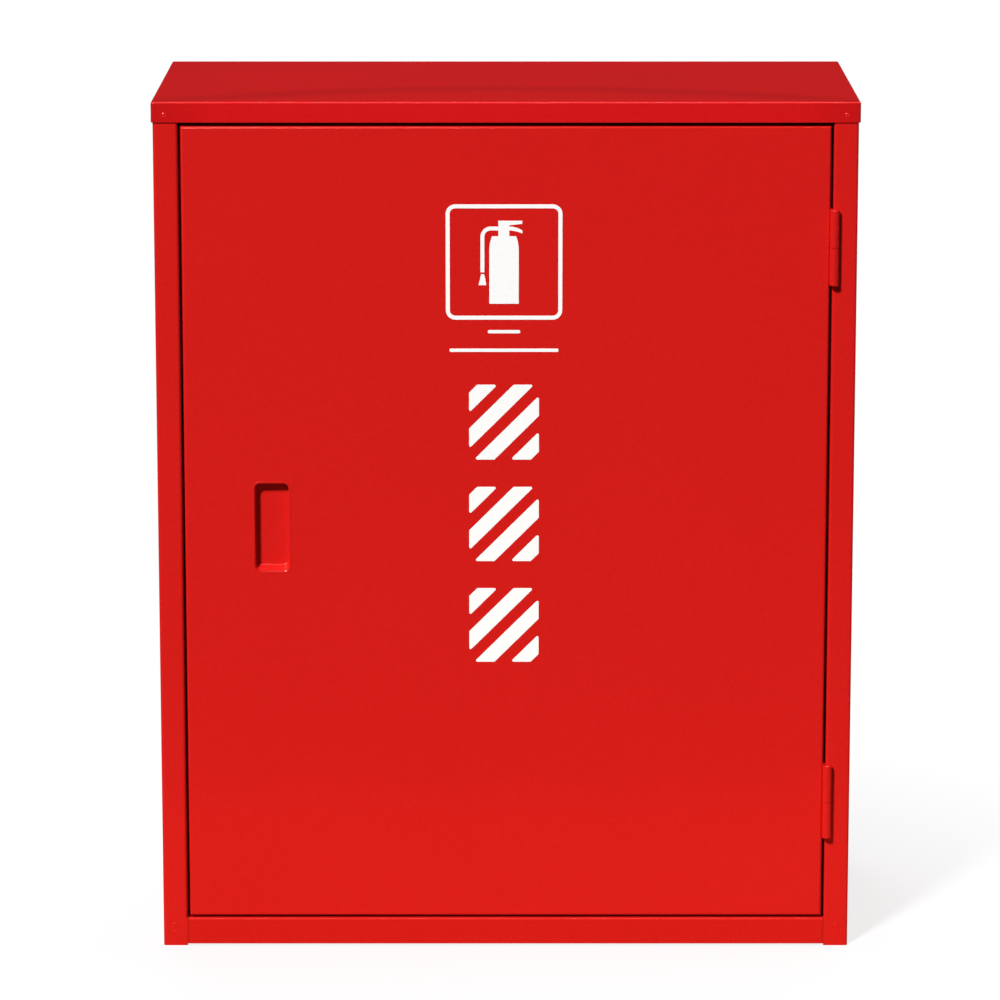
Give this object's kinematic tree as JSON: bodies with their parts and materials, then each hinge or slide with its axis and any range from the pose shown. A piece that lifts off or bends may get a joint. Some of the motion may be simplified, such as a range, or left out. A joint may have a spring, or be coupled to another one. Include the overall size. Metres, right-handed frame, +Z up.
{
  "type": "fire extinguisher cabinet",
  "caption": "Floor-standing red sheet steel cabinet for fire extinguishers, with an overlapping lid, a hinged door and a recessed finger pull.",
  "frame": {"origin": "on the floor, in the middle of the overall width and depth", "axes": "+X to the right seen from the front, +Y towards the back, +Z up; the door faces -Y"},
  "size_m": [0.5424, 0.2685, 0.67],
  "materials": {
    "red_coat": "powder coat, semi-gloss",
    "bright_steel": "zinc plated",
    "dark_plastic": "matt",
    "black_rubber": "matt",
    "white_print": "printed film on the door"
  },
  "bodies": {
    "cabinet": {"left_side_panel": "red_coat", "right_side_panel": "red_coat", "back_panel": "red_coat", "top_lid": "red_coat", "floor_pan": "red_coat", "head_channel": "red_coat", "upper_frame_hinge": "red_coat", "lower_frame_hinge": "red_coat", "upper_hinge_pin": "bright_steel", "lower_hinge_pin": "bright_steel", "upper_hinge_washer": "red_coat", "lower_hinge_washer": "red_coat", "catch_case": "dark_plastic", "catch_poles": "bright_steel", "upper_buffer": "black_rubber", "lower_buffer": "black_rubber"},
    "door": {"door_panel": "red_coat", "handle_pocket": "red_coat", "door_stiffener": "red_coat", "upper_door_hinge": "red_coat", "lower_door_hinge": "red_coat", "strike_plate": "bright_steel"}
  },
  "joints": [
    {"name": "door_hinge", "type": "hinge", "parent": "cabinet", "child": "door", "pos_m": [0.252, -0.13075, 0.33775], "axis": [0, 0, 1], "range_deg": [0, 180]}
  ]
}
